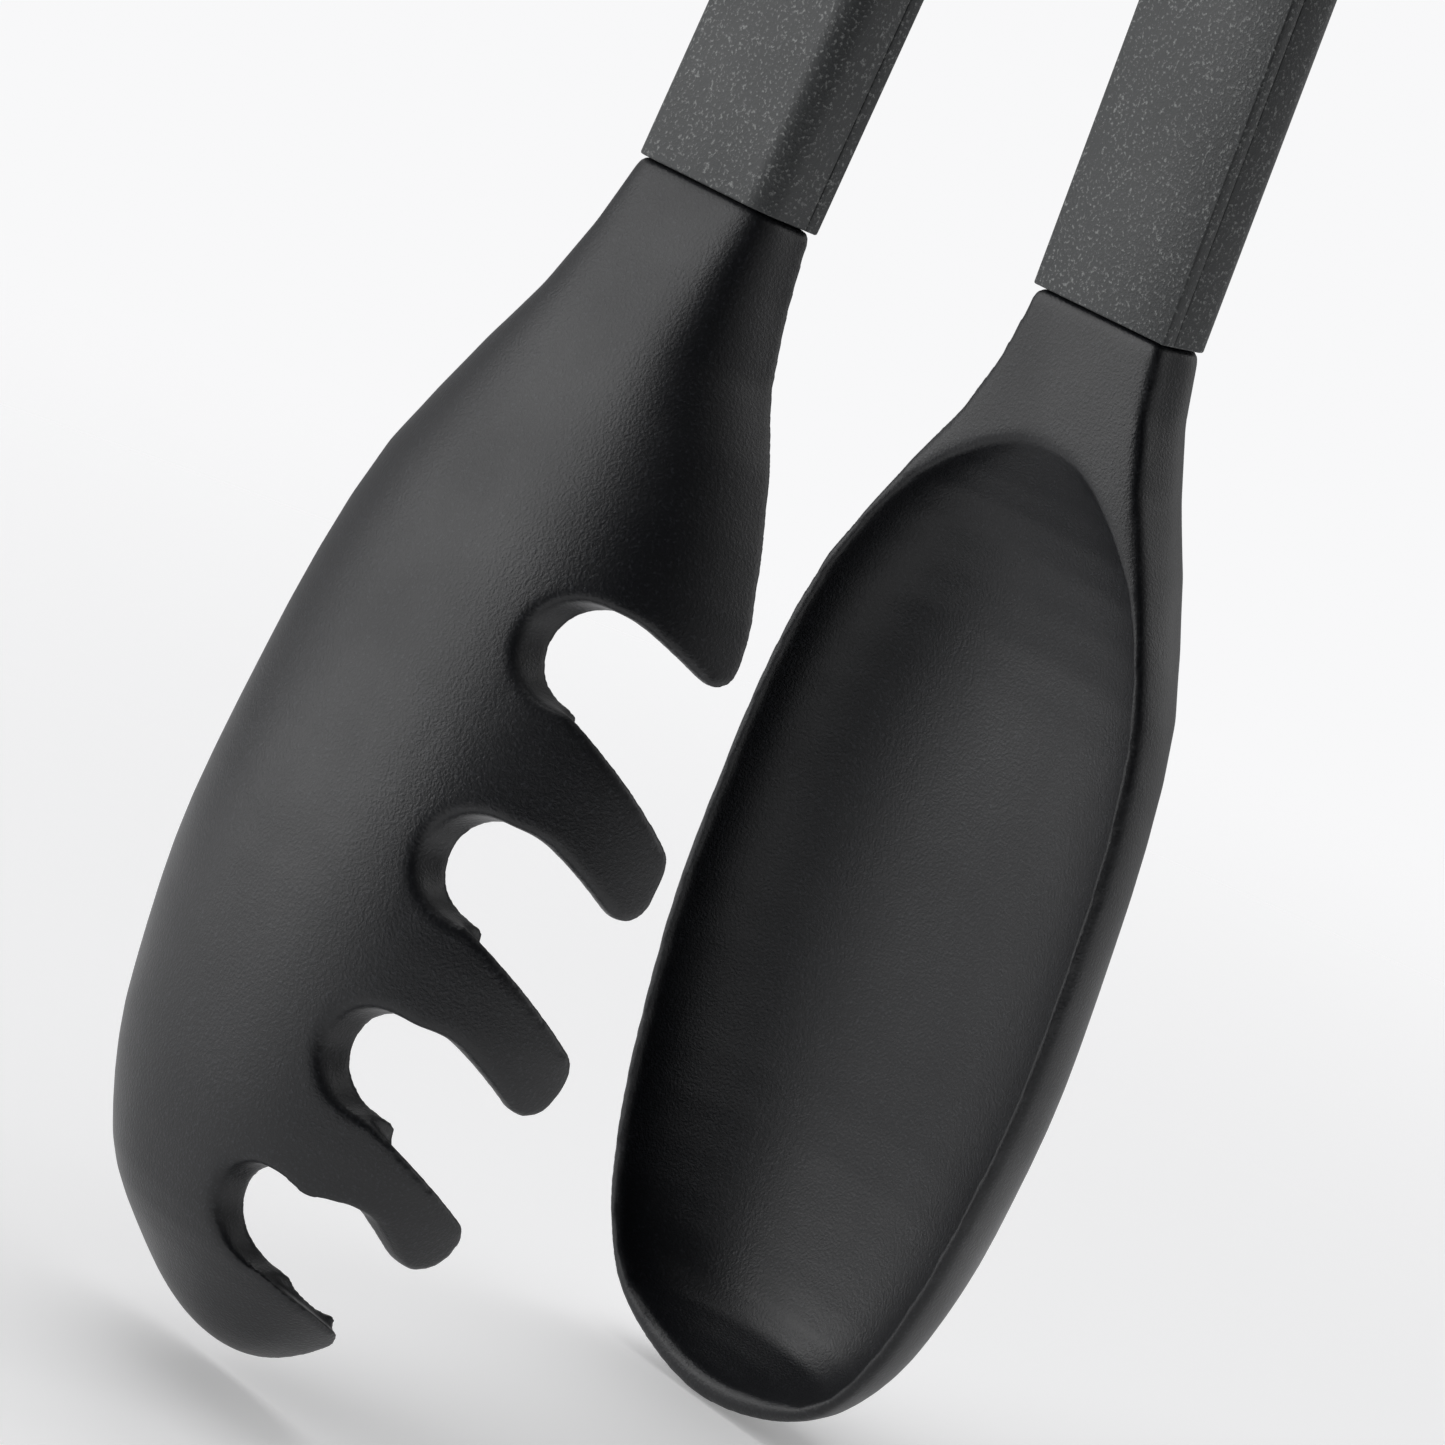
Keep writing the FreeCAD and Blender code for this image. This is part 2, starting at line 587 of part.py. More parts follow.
def head_bowl(rows, length, half_width, depth, wall, rim):
    """Hollow of a head, from its rounded top to just inside the tip."""
    top = size("bowl_start")
    bottom = length - 1.6 * rim
    wires = []
    for index in range(1, BOWL_STATIONS):
        station = top + (bottom - top) * (1 - math.cos(math.pi * index / BOWL_STATIONS)) / 2
        share = station / length
        ends = run_in(station - top, size("bowl_run_in")) * run_in(bottom - station, size("bowl_run_out"))
        across = (smooth(rows, share, 1, 2) * half_width - rim) * ends
        down = (smooth(rows, share, 2, 2) * depth - wall) * ends * run_in(station - top, 2 * size("bowl_run_in"))
        wires.append(section_wire(station, across, down, size("bowl_squareness"), above=1))
    return Part.makeLoft([Part.Vertex(0, 0, -top)] + wires + [Part.Vertex(0, 0, -bottom)], True, True)


def tang():
    """Tang that runs up into the grip, with its two rivet holes."""
    width = size("tang_width")
    inner = size(STRIP_OUT)
    thick = size("tang_depth")
    root = 6
    bar = Part.makeBox(thick, width, size("tang_length") + root, Vector(inner, -width / 2, -root))
    for index in range(2):
        height = size("head_rivet_start") + index * size("head_rivet_pitch")
        hole = Part.makeCylinder(size("head_rivet_radius"), thick + 2, Vector(inner - 1, 0, height), Vector(1, 0, 0))
        bar = bar.cut(hole)
    return bar


def place_head(label, shape, side):
    head = doc.addObject("Part::Feature", label)
    head.Label = label
    head.Shape = shape
    head.setExpression("Placement", arm_frame(ARM_SIDES[side]))
    doc.recompute()
    return head


def spoon_head():
    """Long oval spoon with a flat rim and a deep bowl."""
    length = size("head_length")
    half_width = size("head_half_width")
    depth = size("head_depth")
    rows = with_neck(SPOON_OUTLINE, half_width, depth)
    solid = head_body(rows, length, half_width, depth)
    bowl = head_bowl(rows, length, half_width, depth, size("spoon_wall"), size("spoon_rim"))
    return place_head("spoon_head", solid.cut(bowl).fuse(tang()), "spoon")


def tangent_point(centre, radius, point, side):
    """Where the line from a point touches a circle, on one side."""
    away = point - centre
    angle = math.acos(radius / away.Length)
    return centre + Rotation(Vector(0, 1, 0), side * math.degrees(angle)).multVec(away.normalize() * radius)


def rounded_lip(lip, along_rim, root, rounding):
    """Arc that rounds the end of a point, from the rim to the slot's side."""
    inward = (root - lip).normalize()
    half_angle = along_rim.getAngle(inward) / 2
    run = rounding / math.tan(half_angle)
    middle = (along_rim + inward).normalize()
    centre = lip + middle * (rounding / math.sin(half_angle))
    return Part.Arc(lip + along_rim * run, centre - middle * rounding, lip + inward * run).toShape()


def slot_side(root_share, upper_share, lower_share):
    """Slot as seen from the side: a round root and two rounded lips at the rim, cut across the claw."""
    length = size("claw_length")
    radius = size("slot_radius")
    rounding = size("point_round")
    half = size("claw_half_width") + radius
    root_depth = size("slot_root") * size("claw_depth") * smooth(CLAW_OUTLINE, root_share, 2, 2)
    centre = Vector(root_depth, -half, -root_share * length)
    lift = Vector(-rounding, 0, 0)
    edges = []
    starts = []
    for share, side in ((upper_share, 1), (lower_share, -1)):
        lip = Vector(0, -half, -share * length)
        touch = tangent_point(centre, radius, lip, side)
        arc = rounded_lip(lip, Vector(0, 0, side), touch, rounding)
        start, end = arc.valueAt(arc.FirstParameter), arc.valueAt(arc.LastParameter)
        edges += [Part.makeLine(start + lift, start), arc, Part.makeLine(end, touch), Part.makeLine(touch, centre)]
        starts.append(start + lift)
    edges.append(Part.makeLine(*starts))
    side_face = Part.Face(Part.Wire(Part.__sortEdges__(edges)))
    return side_face.extrude(Vector(0, 2 * half, 0)).fuse(Part.makeCylinder(radius, 2 * half, centre, Vector(0, 1, 0)))


def slot_tools():
    """The slots along the claw's open side, each with a root that is round from behind too."""
    length = size("claw_length")
    half = size("claw_half_width")
    tools = []
    for root_share, upper_share, lower_share, across_share in CLAW_SLOTS:
        across = across_share * half
        kept = Part.makeBox(2 * length, across + 2 * half, 2 * length, Vector(-length, -2 * half, -1.5 * length))
        centre = Vector(0, across, -root_share * length)
        root = Part.makeCylinder(size("slot_root_radius"), length, centre, Vector(1, 0, 0))
        tools.append(slot_side(root_share, upper_share, lower_share).cut(kept).fuse(root))
    return tools


def fork_head():
    """Hollow claw: a deep shell with slots along one side, which leave its points."""
    length = size("claw_length")
    half_width = size("claw_half_width")
    depth = size("claw_depth")
    rows = with_neck(CLAW_OUTLINE, half_width, depth)
    solid = head_body(rows, length, half_width, depth)
    bowl = head_bowl(rows, length, half_width, depth, size("claw_wall"), size("claw_rim"))
    shell = solid.cut(bowl)
    for tool in slot_tools():
        shell = shell.cut(tool)
    return place_head("fork_head", shell.fuse(tang()), "fork")


def spring(side):
    """Torsion spring on the pin: a stop leg up to the spool, three turns and a leg down the arm."""
    radius = size("coil_radius")
    wire = size("wire_radius")
    pitch = size("coil_pitch")
    leg = size("leg_length")
    lean = math.radians(size(UPPER_LEAN))
    reach = size("%s + %s" % (FACE_OFF_HINGE, STRIP_IN)) - wire - size("pin_fit") - radius
    lean += math.asin(reach / leg)
    turned = 3 * 360 - math.degrees(lean)
    height = pitch * turned / 360
    coil = Part.makeHelix(pitch, height, radius)
    start = Vector(radius, 0, 0)
    end = Vector(radius * math.cos(-lean), radius * math.sin(-lean), height)
    ring = Part.Wire(Part.makeCircle(wire, start, Vector(0, 1, 0)))
    solid = Part.Wire(coil.Edges).makePipeShell([ring], True, True)
    solid = solid.fuse(Part.makeSphere(wire, start)).fuse(Part.makeSphere(wire, end))
    solid = solid.fuse(Part.makeCylinder(wire, size("stop_leg"), start, Vector(0, -1, 0)))
    along = Vector(math.sin(lean), math.cos(lean), 0)
    solid = solid.fuse(Part.makeCylinder(wire, leg, end, along)).fuse(Part.makeSphere(wire, end + along * leg))
    feature = doc.addObject("Part::Feature", side + "_spring")
    feature.Label = side + "_spring"
    feature.Shape = solid
    on_pin = " * placement(vector(0; Sizes.coil_start; 0); rotation(0; 0; -90))"
    feature.setExpression("Placement", hinge_frame(ARM_SIDES[side]) + on_pin)
    doc.recompute()
    return feature


def spring_spools():
    """Two spools on the pin, one each side of the lock strip, with a stop for each spring."""
    body = new_body("spring_spools", hinge_frame())
    body.AllowCompound = True
    inner = "(Sizes.lock_steel / 2 + Sizes.lock_fit)"
    flange = "(%s + Sizes.spool_flange_depth)" % inner
    bore = "Sizes.pin_radius"
    corners = [
        (bore, inner),
        ("Sizes.spool_flange", inner),
        ("Sizes.spool_flange", flange),
        ("Sizes.spool_radius", flange),
        ("Sizes.spool_radius", inner + " + Sizes.spool_length"),
        (bore, inner + " + Sizes.spool_length"),
    ]
    spool = revolve(body, "spool", outline(body, "spool_half", "XY_Plane", corners), "Y_Axis")
    stop_low = "(Sizes.coil_radius + Sizes.wire_radius + Sizes.stop_gap)"
    stop = rectangle(body, "stop_outline", "XZ_Plane", (stop_low, "2 * Sizes.wire_radius"),
                     ("Sizes.spool_flange", "Sizes.stop_leg"))
    stop_depth = "(2 * Sizes.coil_start - 2 * %s)" % inner
    stop.setExpression("AttachmentOffset.Base.z", "-Sizes.coil_start")
    lug = pad(body, "stop", stop, stop_depth)
    both = body.newObject("PartDesign::PolarPattern", "both_spools")
    both.Originals = [spool, lug]
    both.Axis = (origin_part(body, "Z_Axis"), [""])
    both.Angle = 360
    both.Occurrences = 2
    body.Tip = both
    doc.recompute()
    return body


def hinge_pin():
    """Pin with a domed head at the front."""
    body = new_body("hinge_pin", hinge_frame())
    head = "Sizes.pin_head_radius"
    height = "Sizes.pin_head_height"
    corners = [
        ("0", "-%s - %s" % (PIN_HALF, height)),
        (head + " * 0.6", "-%s - %s" % (PIN_HALF, height)),
        (head + " * 0.88", "-%s - 0.6 * %s" % (PIN_HALF, height)),
        (head, "-" + PIN_HALF),
        ("Sizes.pin_radius", "-" + PIN_HALF),
        ("Sizes.pin_radius", "%s + %s / 2" % (PIN_HALF, height)),
        ("0", "%s + %s / 2" % (PIN_HALF, height)),
    ]
    revolve(body, "pin_turned", outline(body, "pin_half", "XY_Plane", corners), "Y_Axis")
    return body


def pin_cap():
    """Cap pressed on the far end of the pin."""
    body = new_body("pin_cap", hinge_frame())
    head = "Sizes.pin_head_radius"
    height = "Sizes.pin_head_height"
    corners = [
        ("Sizes.pin_radius", PIN_HALF),
        (head, PIN_HALF),
        (head + " * 0.88", "%s + 0.6 * %s" % (PIN_HALF, height)),
        (head + " * 0.6", "%s + %s" % (PIN_HALF, height)),
        ("0", "%s + %s" % (PIN_HALF, height)),
        ("0", "%s + %s / 2" % (PIN_HALF, height)),
        ("Sizes.pin_radius", "%s + %s / 2" % (PIN_HALF, height)),
    ]
    revolve(body, "cap_turned", outline(body, "cap_half", "XY_Plane", corners), "Y_Axis")
    return body


def tab_rivet_holes(body, length):
    """Holes for the two rivets that hold the tab on its strip."""
    height = "-(Sizes.tab_fall + Sizes.strip_in_tab) / 2"
    for index, sign in enumerate(("-", "")):
        name = "%s_rivet_hole_%d" % (body.Label, index)
        centre = (sign + "Sizes.tab_rivet_side", height)
        hole = disc(body, name + "_outline", "XZ_Plane", centre, "Sizes.tab_rivet_radius")
        pocket(body, name, hole, length)


def lock_strip():
    """Steel strip that slides on the hinge pin, with its slot and the holes for bar and rivets."""
    body = new_body("lock_strip")
    half = "Sizes.lock_width / 2"
    bar_height = "(Sizes.eyelet_to_hinge + Sizes.bar_drop)"
    blank = rectangle(body, "lock_blank_outline", "XZ_Plane", ("-" + half, "-%s - Sizes.lock_tail" % bar_height),
                      (half, "-Sizes.strip_in_tab"))
    strip = pad(body, "lock_blank", blank, "Sizes.lock_steel")
    bottom = size("-(eyelet_to_hinge + bar_drop) - lock_tail")
    across = size("lock_width") / 2
    corners = edges_where(strip, lambda p: abs(abs(p.x) - across) < 0.01 and abs(p.z - bottom) < 0.01)
    fillet(body, "lock_corners", strip, corners, "Sizes.lock_width / 4")
    play = "(Sizes.pin_radius + Sizes.lock_fit)"
    slot = rectangle(body, "lock_slot_outline", "XZ_Plane",
                     ("-" + play, "-Sizes.eyelet_to_hinge - Sizes.lock_travel - " + play),
                     (play, "-Sizes.eyelet_to_hinge + " + play))
    pocket(body, "lock_slot", slot, "4 * Sizes.lock_steel")
    hole = disc(body, "bar_hole_outline", "XZ_Plane", ("0", "-" + bar_height), "Sizes.bar_radius")
    pocket(body, "bar_hole", hole, "4 * Sizes.lock_steel")
    tab_rivet_holes(body, "4 * Sizes.lock_steel")
    return body


def lock_bar():
    """Cross bar through the foot of the lock strip."""
    body = new_body("lock_bar")
    centre = ("0", "-Sizes.eyelet_to_hinge - Sizes.bar_drop")
    pad(body, "bar", disc(body, "bar_outline", "XZ_Plane", centre, "Sizes.bar_radius"), "Sizes.bar_length")
    return body


def pull_tab():
    """Moulded tab with the hole for its eyelet and a slot for the lock strip."""
    body = new_body("pull_tab")
    half = "Sizes.tab_width / 2"
    waist = "Sizes.tab_waist / 2"
    corners = [
        ("-" + waist, "-Sizes.tab_fall"),
        (waist, "-Sizes.tab_fall"),
        (half, "-Sizes.tab_rise / 2"),
        (half, "Sizes.tab_rise"),
        ("-" + half, "Sizes.tab_rise"),
        ("-" + half, "-Sizes.tab_rise / 2"),
    ]
    block = pad(body, "tab_block", outline(body, "tab_side", "XZ_Plane", corners), "Sizes.tab_depth")
    across = size("tab_width") / 2
    top = size("tab_rise")
    round_top = edges_where(block, lambda p: abs(abs(p.x) - across) < 0.01 and abs(p.z - top) < 0.01)
    fillet(body, "tab_top", block, round_top, "Sizes.tab_cap")
    hole = disc(body, "eyelet_hole_outline", "XZ_Plane", ("0", "0"), "Sizes.eyelet_bore + Sizes.eyelet_wall")
    pocket(body, "eyelet_hole", hole, "2 * Sizes.tab_depth")
    slot = rectangle(body, "strip_slot_outline", "XZ_Plane", ("-Sizes.lock_width / 2", "-2 * Sizes.tab_fall"),
                     ("Sizes.lock_width / 2", "-Sizes.strip_in_tab"))
    pocket(body, "strip_slot", slot, "Sizes.lock_steel")
    tab_rivet_holes(body, "2 * Sizes.tab_depth")
    return body


def tab_rivets():
    """Two flush rivets through tab and strip."""
    body = new_body("tab_rivets")
    body.AllowCompound = True
    height = "-(Sizes.tab_fall + Sizes.strip_in_tab) / 2"
    sketch = disc(body, "tab_rivet_outline", "XZ_Plane", ("Sizes.tab_rivet_side", height), "Sizes.tab_rivet_radius")
    rivet = pad(body, "tab_rivet", sketch, "Sizes.tab_depth")
    mirrored = body.newObject("PartDesign::Mirrored", "tab_rivet_pair")
    mirrored.Originals = [rivet]
    mirrored.MirrorPlane = (origin_part(body, "YZ_Plane"), [""])
    body.Tip = mirrored
    doc.recompute()
    return body


def hang_eyelet():
    """Steel eyelet with rolled flanges, which the hook goes through."""
    body = new_body("hang_eyelet")
    half = "Sizes.tab_depth / 2"
    lip = "(%s + Sizes.eyelet_lip)" % half
    tube = "Sizes.eyelet_bore + Sizes.eyelet_wall"
    corners = [
        ("Sizes.eyelet_bore", "-" + lip),
        ("Sizes.eyelet_flange", "-" + lip),
        ("Sizes.eyelet_flange", "-" + half),
        (tube, "-" + half),
        (tube, half),
        ("Sizes.eyelet_flange", half),
        ("Sizes.eyelet_flange", lip),
        ("Sizes.eyelet_bore", lip),
    ]
    revolve(body, "eyelet_turned", outline(body, "eyelet_half", "XY_Plane", corners), "Y_Axis")
    return body


def check_and_write(parts):
    """Stop at any failed feature or bad shape, then write one file for each piece."""
    failed = [item.Label for item in doc.Objects if "Invalid" in item.State or "Error" in item.State]
    if failed:
        raise RuntimeError("failed features: " + ", ".join(failed))
    for part in parts:
        if part.Shape.isNull() or not part.Shape.isValid():
            raise RuntimeError("bad shape: " + part.Label)
    os.makedirs("parts", exist_ok=True)
    for part in parts:
        part.Shape.exportStep("parts/%s.step" % part.Label)
        solids = len(part.Shape.Solids)
        print("%-18s %d solid(s) %10.1f mm3" % (part.Label, solids, part.Shape.Volume))


pieces = [
    hinge_pin(), pin_cap(), spring_spools(), lock_strip(), lock_bar(), pull_tab(), tab_rivets(), hang_eyelet(),
    spoon_head(), fork_head(), arm_core("spoon", INNER_CHANNEL), arm_core("fork", "Sizes.outer_channel"),
]
for arm in ARM_SIDES:
    pieces += [spring(arm), grip_face(arm), grip_back(arm), grip_rivet(arm), head_rivets(arm)]
doc.recompute()
check_and_write(pieces)
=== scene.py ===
import json
import math

import bpy
from mathutils import Matrix, Vector

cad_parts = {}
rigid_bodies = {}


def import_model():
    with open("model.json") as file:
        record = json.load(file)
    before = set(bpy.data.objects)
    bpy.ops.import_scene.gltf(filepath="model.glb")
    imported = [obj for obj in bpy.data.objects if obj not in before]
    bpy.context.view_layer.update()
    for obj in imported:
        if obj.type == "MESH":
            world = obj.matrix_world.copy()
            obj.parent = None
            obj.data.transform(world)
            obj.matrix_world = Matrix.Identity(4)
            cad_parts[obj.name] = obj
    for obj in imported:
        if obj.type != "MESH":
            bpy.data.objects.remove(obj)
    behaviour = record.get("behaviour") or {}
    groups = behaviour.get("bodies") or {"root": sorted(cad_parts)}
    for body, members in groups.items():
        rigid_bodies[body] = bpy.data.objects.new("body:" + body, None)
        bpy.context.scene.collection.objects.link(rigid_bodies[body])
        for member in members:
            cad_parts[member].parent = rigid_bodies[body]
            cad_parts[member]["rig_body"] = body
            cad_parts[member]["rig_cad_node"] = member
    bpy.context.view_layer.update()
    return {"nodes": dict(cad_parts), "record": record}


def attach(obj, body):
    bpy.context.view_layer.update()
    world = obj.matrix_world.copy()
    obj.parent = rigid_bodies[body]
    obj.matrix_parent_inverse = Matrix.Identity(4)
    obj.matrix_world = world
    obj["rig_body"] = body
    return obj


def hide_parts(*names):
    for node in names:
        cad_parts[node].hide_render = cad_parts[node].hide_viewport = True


# Looks of the spring loaded kitchen tongs: black moulded nylon heads on grey speckled grips, steel hinge end.
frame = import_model()
MM = 0.001

HEADS = ("spoon_head", "fork_head")
HEAD_VOXEL = 0.42 * MM
HEAD_EDGE = {"spoon_head": 0.7 * MM, "fork_head": 0.45 * MM}
GRIPS = ("spoon_grip_back", "spoon_grip_face", "fork_grip_back", "fork_grip_face")
GRIP_EDGE = 0.18 * MM
WELD = 0.002 * MM
FLOOR_BELOW_ORIGIN = 302.8 * MM

# sizes of the surface patterns
CLOUD_WIDTH = 14 * MM
SCRATCH_WIDTH = 0.25 * MM
SCRATCH_DEPTH = 0.02 * MM


def linear(hex_colour):
    """Linear RGBA of an sRGB hex colour."""
    channels = [int(hex_colour[i:i + 2], 16) / 255 for i in (0, 2, 4)]
    return [c / 12.92 if c <= 0.04045 else ((c + 0.055) / 1.055) ** 2.4 for c in channels] + [1.0]


# --- materials ---------------------------------------------------------------------------------------------

def add(tree, kind, settings=None, **links):
    """Add a shader node, set its properties and inputs, and link its inputs by name."""
    node = tree.nodes.new(kind)
    for name, value in (settings or {}).items():
        if name in node.inputs:
            node.inputs[name].default_value = value
        else:
            setattr(node, name, value)
    for name, output in links.items():
        tree.links.new(output, node.inputs[name.replace("_", " ")])
    return node


def new_material(name):
    """Empty material and its node tree, with the coordinates that its patterns use."""
    material = bpy.data.materials.new(name)
    material.use_nodes = True
    tree = material.node_tree
    tree.nodes.clear()
    coords = add(tree, "ShaderNodeTexCoord").outputs["Object"]
    return material, tree, coords


def finish_material(tree, shader):
    add(tree, "ShaderNodeOutputMaterial", Surface=shader.outputs["BSDF"])


def moulded_nylon(name, dark, light, roughness, grain_mm, grain_height, speckle):
    """Filled nylon from a spark-eroded mould.

    It gives the eye a fine even grain, faint light speckles and a soft, slightly uneven shine.
    """
    material, tree, coords = new_material(name)
    grain = add(tree, "ShaderNodeTexNoise", {"Scale": 1 / (grain_mm * MM), "Detail": 2.0, "Roughness": 0.6},
                Vector=coords)
    cloud = add(tree, "ShaderNodeTexNoise", {"Scale": 1 / CLOUD_WIDTH, "Detail": 3.0}, Vector=coords)
    flecks = add(tree, "ShaderNodeMapRange",
                 {"From Min": 0.56, "From Max": 0.72, "To Min": 0.0, "To Max": speckle},
                 Value=grain.outputs["Fac"])
    colour = add(tree, "ShaderNodeMix", {"data_type": "RGBA"})
    tree.links.new(flecks.outputs["Result"], colour.inputs["Factor"])
    colour.inputs[6].default_value = linear(dark)
    colour.inputs[7].default_value = linear(light)
    shine = add(tree, "ShaderNodeMapRange",
                {"From Min": 0.3, "From Max": 0.7, "To Min": roughness - 0.05, "To Max": roughness + 0.05},
                Value=cloud.outputs["Fac"])
    bump = add(tree, "ShaderNodeBump", {"Strength": 0.6, "Distance": grain_height * MM},
               Height=grain.outputs["Fac"])
    shader = add(tree, "ShaderNodeBsdfPrincipled", {"IOR": 1.53}, Roughness=shine.outputs["Result"],
                 Normal=bump.outputs["Normal"])
    tree.links.new(colour.outputs[2], shader.inputs["Base Color"])
    finish_material(tree, shader)
    return material


def brushed_steel(name, colour, roughness, stretch):
    """Stainless steel. It gives the eye fine parallel scratches along the piece and a soft mirror."""
    material, tree, coords = new_material(name)
    mapped = add(tree, "ShaderNodeMapping", {"Scale": stretch}, Vector=coords)
    scratches = add(tree, "ShaderNodeTexNoise", {"Scale": 1 / SCRATCH_WIDTH, "Detail": 3.0},
                    Vector=mapped.outputs["Vector"])
    shine = add(tree, "ShaderNodeMapRange", {"To Min": roughness - 0.08, "To Max": roughness + 0.1},
                Value=scratches.outputs["Fac"])
    bump = add(tree, "ShaderNodeBump", {"Strength": 0.25, "Distance": SCRATCH_DEPTH},
               Height=scratches.outputs["Fac"])
    shader = add(tree, "ShaderNodeBsdfPrincipled", {"Base Color": linear(colour), "Metallic": 1.0},
                 Roughness=shine.outputs["Result"], Normal=bump.outputs["Normal"])
    finish_material(tree, shader)
    return material


def pale_sweep(middle, solid, gone):
    """Matt white paper of the studio floor, which fades into the white room with distance."""
    material, tree, coords = new_material("white paper sweep")
    offset = add(tree, "ShaderNodeVectorMath", {"operation": "DISTANCE"})
    tree.links.new(coords, offset.inputs[0])
    offset.inputs[1].default_value = middle
    seen = add(tree, "ShaderNodeMapRange",
               {"interpolation_type": "SMOOTHSTEP", "From Min": solid, "From Max": gone, "To Min": 1.0, "To Max": 0.0},
               Value=offset.outputs["Value"])
    paper = {
        "Base Color": linear("f4f4f5"),
        "Roughness": 0.9,
        "Emission Color": linear("ffffff"),
        "Emission Strength": 0.22,
    }
    shader = add(tree, "ShaderNodeBsdfPrincipled", paper, Alpha=seen.outputs["Result"])
    finish_material(tree, shader)
    return material


def give(piece, material):
    piece.data.materials.clear()
    piece.data.materials.append(material)


# --- pieces ------------------------------------------------------------------------------------------------

def select_only(piece):
    bpy.ops.object.select_all(action="DESELECT")
    bpy.context.view_layer.objects.active = piece
    piece.select_set(True)


def copy_of(node, name):
    """Welded copy of a CAD node, which can be shaped further."""
    select_only(frame["nodes"][node])
    bpy.ops.object.duplicate()
    piece = bpy.context.active_object
    piece.name = name
    del piece["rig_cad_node"]
    bpy.ops.object.mode_set(mode="EDIT")
    bpy.ops.mesh.select_all(action="SELECT")
    bpy.ops.mesh.remove_doubles(threshold=WELD)
    bpy.ops.mesh.normals_make_consistent(inside=False)
    bpy.ops.object.mode_set(mode="OBJECT")
    return piece


def apply_modifier(piece, kind, **settings):
    modifier = piece.modifiers.new(kind.lower(), kind)
    for name, value in settings.items():
        setattr(modifier, name, value)
    select_only(piece)
    bpy.ops.object.modifier_apply(modifier=modifier.name)


def stand_for(piece, node):
    """The piece moves with the CAD node's body and is shown in its place."""
    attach(piece, piece["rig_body"])
    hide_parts(node)


def moulded_head(node):
    """Head with the soft edges of a moulding, from the CAD solid."""
    piece = copy_of(node, node + "_moulded")
    apply_modifier(piece, "BEVEL", width=HEAD_EDGE[node], segments=3, limit_method="ANGLE",
                   angle_limit=math.radians(50), use_clamp_overlap=False)
    apply_modifier(piece, "REMESH", mode="VOXEL", voxel_size=HEAD_VOXEL)
    apply_modifier(piece, "SMOOTH", factor=0.5, iterations=14)
    bpy.ops.object.shade_smooth()
    stand_for(piece, node)
    return piece


def moulded_grip(node):
    """Grip half with the small broken edges of a moulding."""
    piece = copy_of(node, node + "_moulded")
    apply_modifier(piece, "BEVEL", width=GRIP_EDGE, segments=2, limit_method="ANGLE",
                   angle_limit=math.radians(40))
    select_only(piece)
    bpy.ops.object.shade_smooth_by_angle(angle=math.radians(35))
    stand_for(piece, node)
    return piece


head_nylon = moulded_nylon("black moulded nylon", "0a0c11", "2c2e33", 0.42, 0.3, 0.1, 0.8)
grip_nylon = moulded_nylon("grey speckled nylon", "393b3c", "868887", 0.52, 0.34, 0.12, 1.0)
tab_nylon = moulded_nylon("black tab nylon", "0e1013", "2c2e31", 0.46, 0.3, 0.1, 0.8)
spool_nylon = moulded_nylon("spool nylon", "121315", "26282a", 0.46, 0.28, 0.03, 0.3)
arm_steel = brushed_steel("lengthways brushed steel", "c9c9c6", 0.30, (1.0, 1.0, 0.03))
turned_steel = brushed_steel("turned steel", "cfcfcd", 0.22, (0.2, 0.2, 0.2))
wire_steel = brushed_steel("drawn spring wire", "b5b5b3", 0.26, (0.3, 0.3, 0.3))

FINISHES = {
    "steel_arm": arm_steel,
    "steel_lock": arm_steel,
    "steel_pin": turned_steel,
    "spring_wire": wire_steel,
    "tab_nylon": tab_nylon,
    "spool_nylon": spool_nylon,
}

for node in HEADS:
    give(moulded_head(node), head_nylon)
for node in GRIPS:
    give(moulded_grip(node), grip_nylon)
for part in frame["record"]["subparts"]:
    if part["material_slot"] in FINISHES:
        give(frame["nodes"][part["node"]], FINISHES[part["material_slot"]])
        select_only(frame["nodes"][part["node"]])
        bpy.ops.object.shade_smooth_by_angle(angle=math.radians(35))

# --- camera ------------------------------------------------------------------------------------------------

CAMERA_PLACE = Vector((-371.1, -326.3, -150.1)) * MM
YAW, PITCH, ROLL = (math.radians(angle) for angle in (48.5, -9.6, 22.4))
LENS = 132.3

ahead = Vector((math.sin(YAW) * math.cos(PITCH), math.cos(YAW) * math.cos(PITCH), math.sin(PITCH)))
level = ahead.cross(Vector((0, 0, 1))).normalized()
upright = level.cross(ahead)
right = level * math.cos(ROLL) + upright * math.sin(ROLL)
up = upright * math.cos(ROLL) - level * math.sin(ROLL)

bpy.ops.object.camera_add()
camera = bpy.context.active_object
camera.matrix_world = Matrix.Translation(CAMERA_PLACE) @ Matrix((right, up, -ahead)).transposed().to_4x4()
camera.data.lens = LENS
camera.data.sensor_width = 36
camera.data.clip_start = 0.01
bpy.context.scene.camera = camera

# --- studio ------------------------------------------------------------------------------------------------

MIDDLE = Vector((0, 0, -0.24))  # middle of the two heads, which the lights face
FLOOR_SIZE = 8


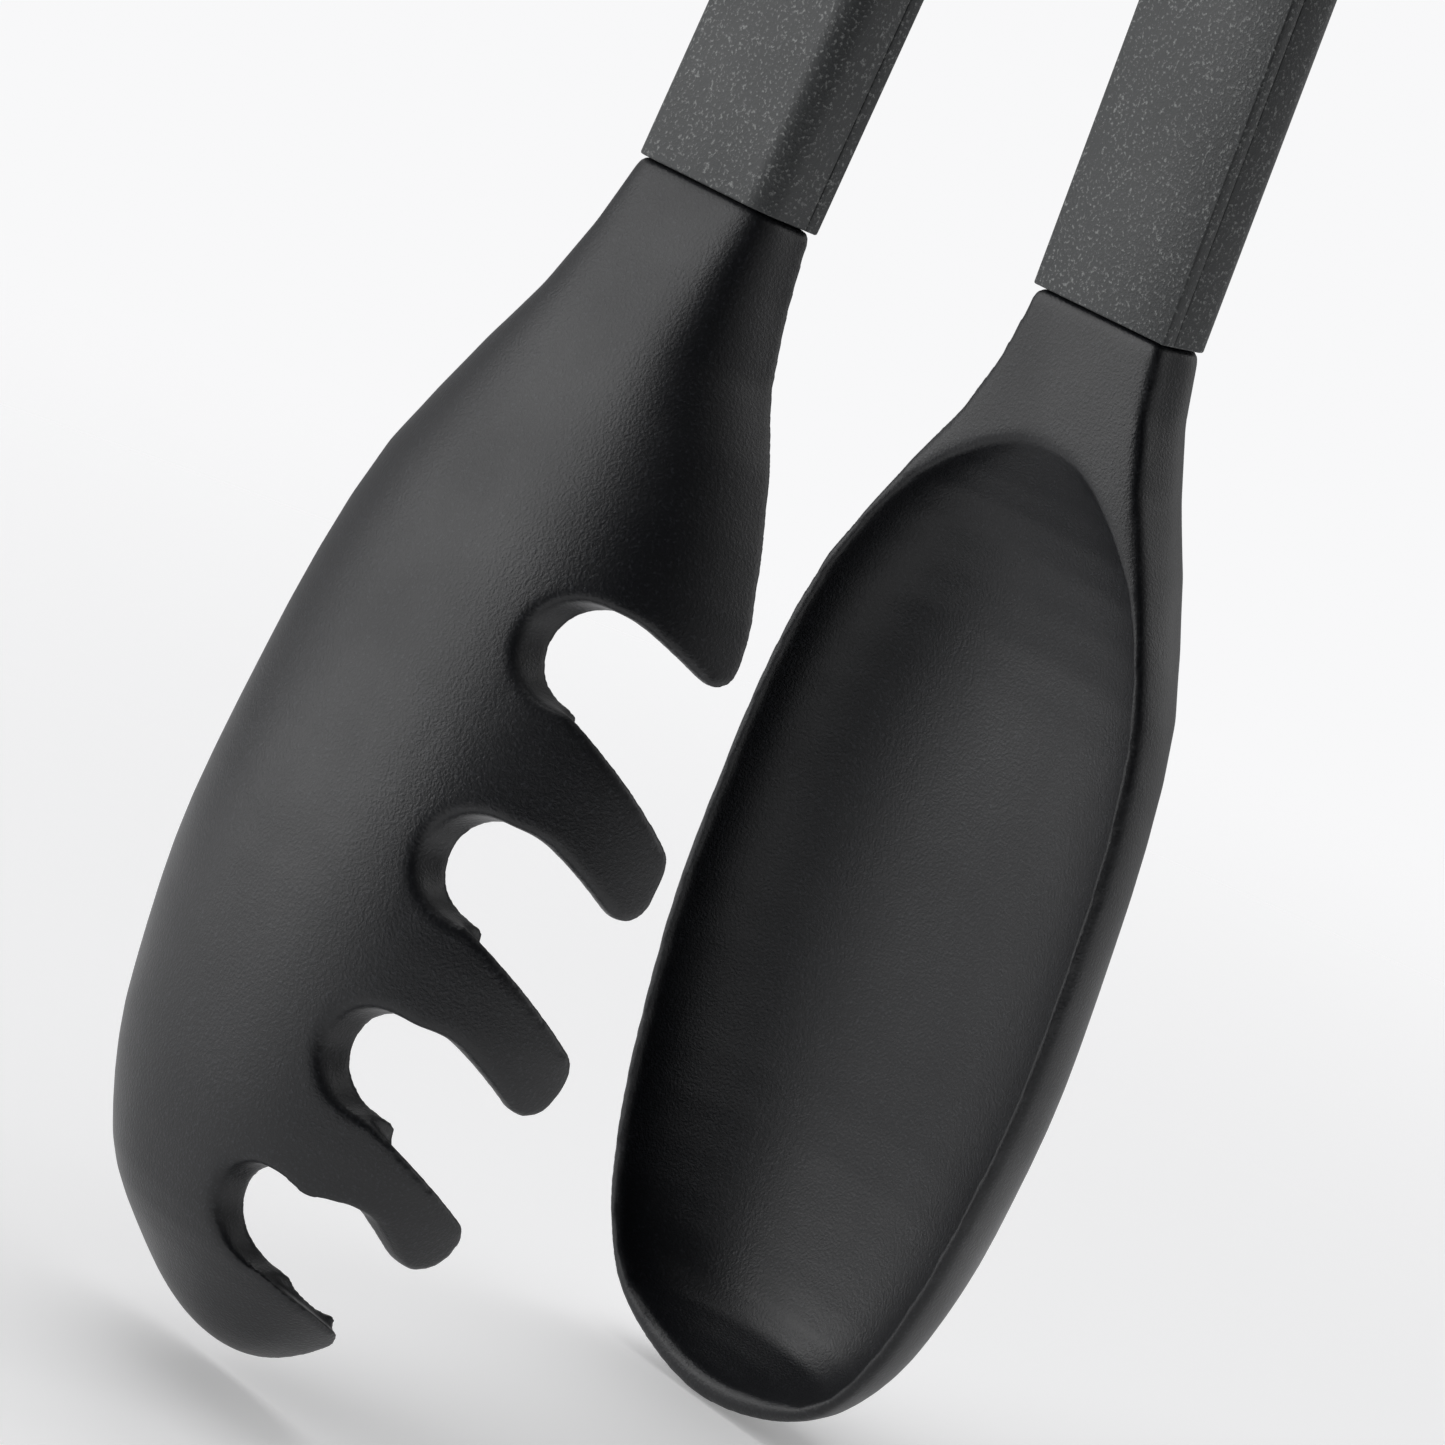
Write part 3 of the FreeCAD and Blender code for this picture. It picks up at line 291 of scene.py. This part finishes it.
def softbox(name, direction, distance, width, height, watts):
    """Rectangular soft light that faces the tongs from a direction."""
    place = MIDDLE + direction.normalized() * distance
    bpy.ops.object.light_add(type="AREA", location=place)
    light = bpy.context.active_object
    light.name = name
    light.data.shape = "RECTANGLE"
    light.data.size = width
    light.data.size_y = height
    light.data.energy = watts
    light.rotation_euler = (MIDDLE - place).to_track_quat("-Z", "Y").to_euler()
    return light


def studio_world(shown, surround, behind_camera):
    """White surround that gets darker towards the camera's own side of the room."""
    world = bpy.data.worlds.new("studio")
    bpy.context.scene.world = world
    world.use_nodes = True
    tree = world.node_tree
    tree.nodes.clear()
    direction = add(tree, "ShaderNodeTexCoord").outputs["Generated"]
    facing = add(tree, "ShaderNodeVectorMath", {"operation": "DOT_PRODUCT"})
    tree.links.new(direction, facing.inputs[0])
    facing.inputs[1].default_value = -ahead
    fall = {
        "interpolation_type": "SMOOTHSTEP",
        "From Min": 0.0,
        "From Max": 0.9,
        "To Min": surround,
        "To Max": behind_camera,
    }
    room = add(tree, "ShaderNodeMapRange", fall, Value=facing.outputs["Value"])
    ray = add(tree, "ShaderNodeLightPath")
    strength = add(tree, "ShaderNodeMix", {"data_type": "FLOAT"})
    tree.links.new(ray.outputs["Is Camera Ray"], strength.inputs[0])
    tree.links.new(room.outputs["Result"], strength.inputs[2])
    strength.inputs[3].default_value = shown
    background = add(tree, "ShaderNodeBackground", {"Color": linear("fdfdfe")}, Strength=strength.outputs[0])
    add(tree, "ShaderNodeOutputWorld", Surface=background.outputs["Background"])


studio_world(shown=0.955, surround=0.36, behind_camera=0.02)
softbox("left softbox", -right + up * 0.5 - ahead * 0.2, distance=2.2, width=2.0, height=2.8, watts=38)
softbox("right rim softbox", right + up * 0.2 + ahead * 0.5, distance=2.2, width=1.0, height=2.2, watts=5)
softbox("top softbox", up + ahead * 0.2, distance=2.6, width=2.4, height=2.4, watts=28)

bpy.ops.mesh.primitive_plane_add(size=FLOOR_SIZE, location=(0, 0, -FLOOR_BELOW_ORIGIN))
floor = bpy.context.active_object
floor.name = "floor"
give(floor, pale_sweep(middle=Vector((0.03, 0, 0)), solid=0.12, gone=0.6))

bpy.context.scene.view_settings.view_transform = "Standard"
